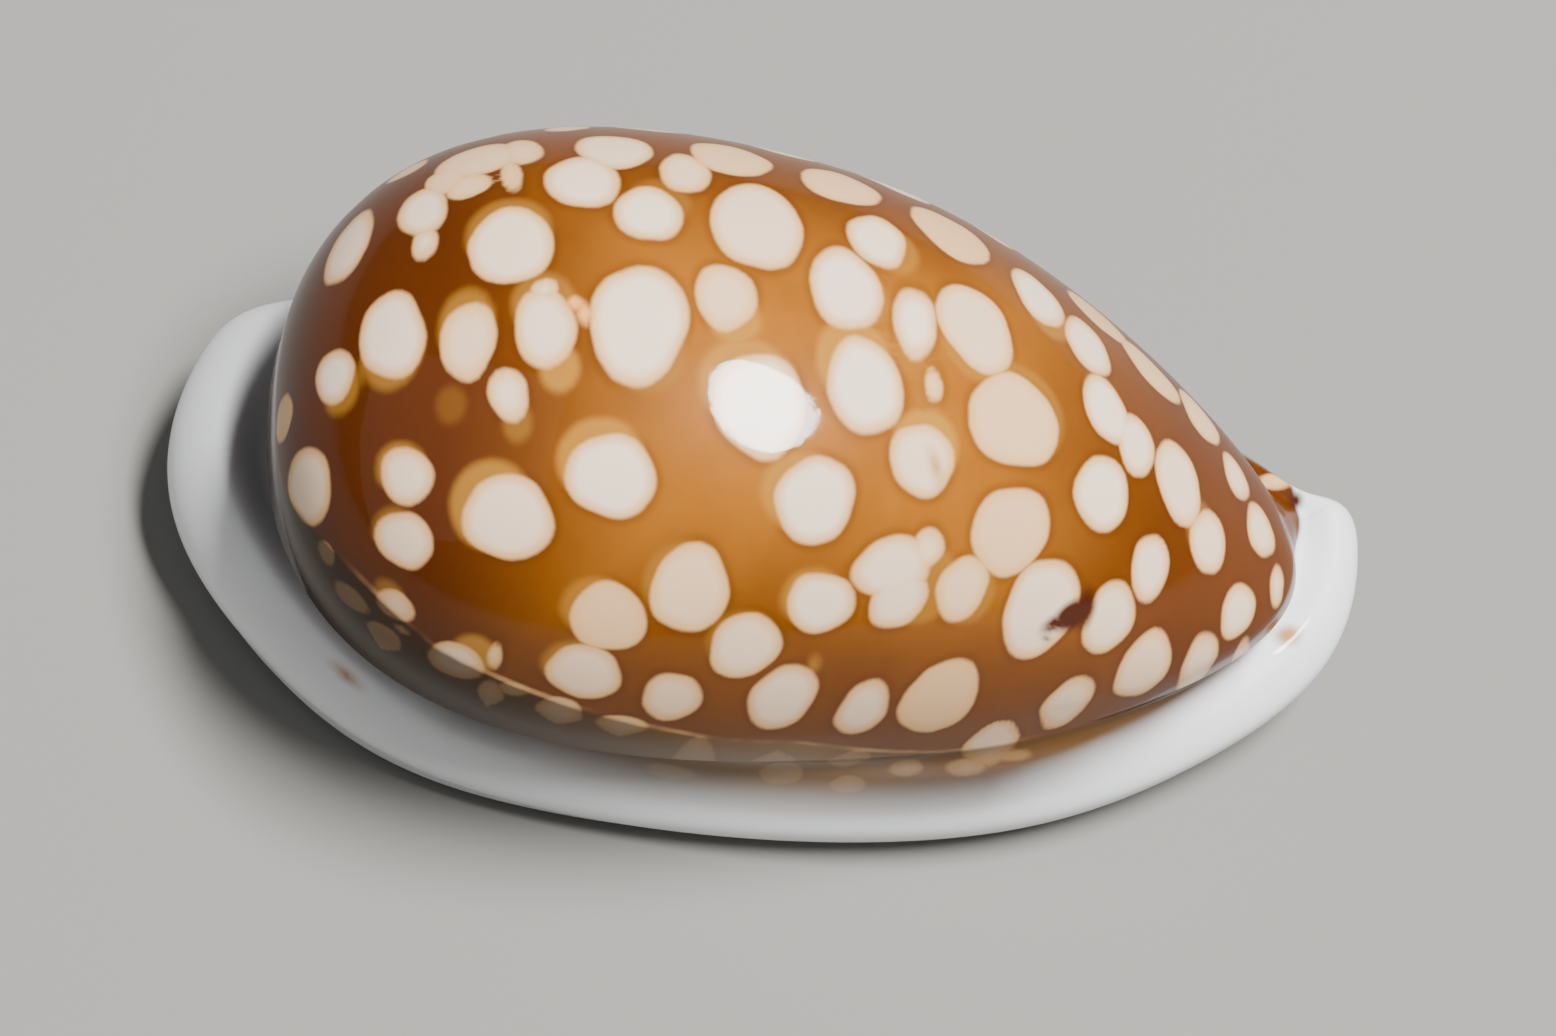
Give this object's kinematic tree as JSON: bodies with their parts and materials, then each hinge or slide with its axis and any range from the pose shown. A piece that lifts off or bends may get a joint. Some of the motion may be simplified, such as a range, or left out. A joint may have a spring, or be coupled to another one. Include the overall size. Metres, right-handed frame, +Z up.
{
  "type": "cowrie shell",
  "caption": "Egg-shaped glossy cowrie shell with a rolled margin, a flat base and a narrow toothed mouth.",
  "frame": {"origin": "on the resting plane, under the middle of the shell's box", "axes": "+X towards the front (anterior) end, +Y towards the columella side, +Z up out of the domed back"},
  "size_m": [0.03, 0.016, 0.0133],
  "materials": {
    "enamel": "gloss"
  },
  "bodies": {
    "root": {"shell": "enamel"}
  },
  "joints": []
}
